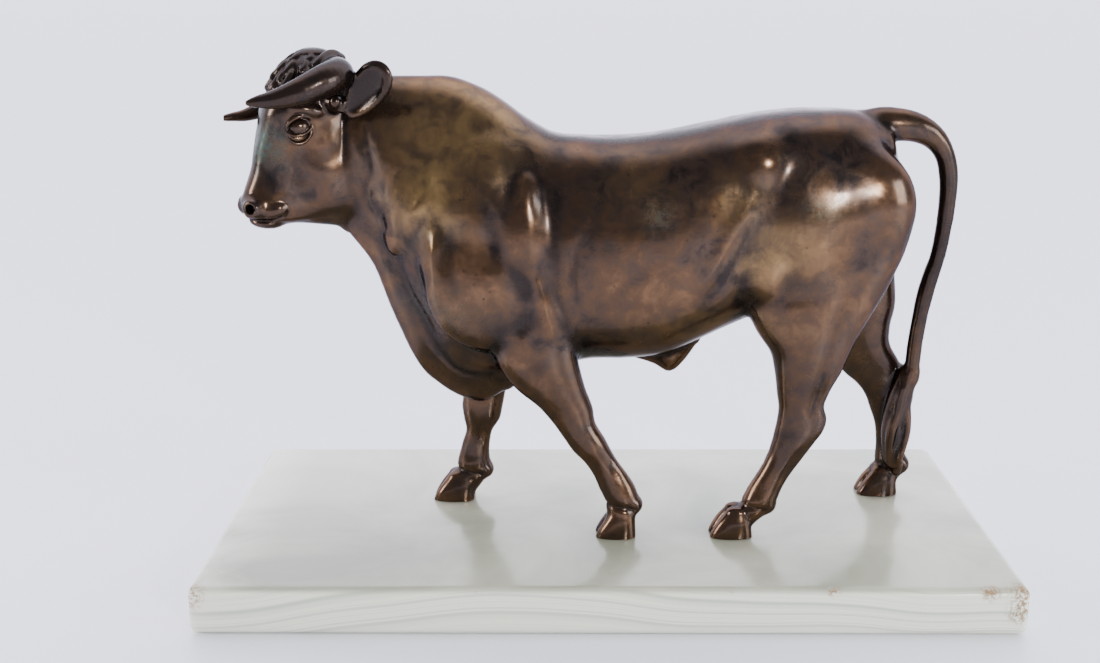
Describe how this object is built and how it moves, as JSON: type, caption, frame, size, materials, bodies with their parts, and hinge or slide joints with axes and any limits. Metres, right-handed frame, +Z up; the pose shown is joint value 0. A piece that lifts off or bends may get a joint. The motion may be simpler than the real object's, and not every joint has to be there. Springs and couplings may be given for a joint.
{
  "type": "bull sculpture",
  "caption": "Striding bull statuette with turned head, curved horns and hanging tail, fixed on a thin stone slab.",
  "frame": {"origin": "centre of the slab's underside", "axes": "-X is the way the bull faces, -Y is the side its head is turned to, +Z is up"},
  "size_m": [0.3076, 0.158, 0.2087],
  "materials": {
    "bronze": "dark brown patina, glossy",
    "onyx": "polished"
  },
  "bodies": {
    "root": {"bull": "bronze", "plinth": "onyx"}
  },
  "joints": []
}
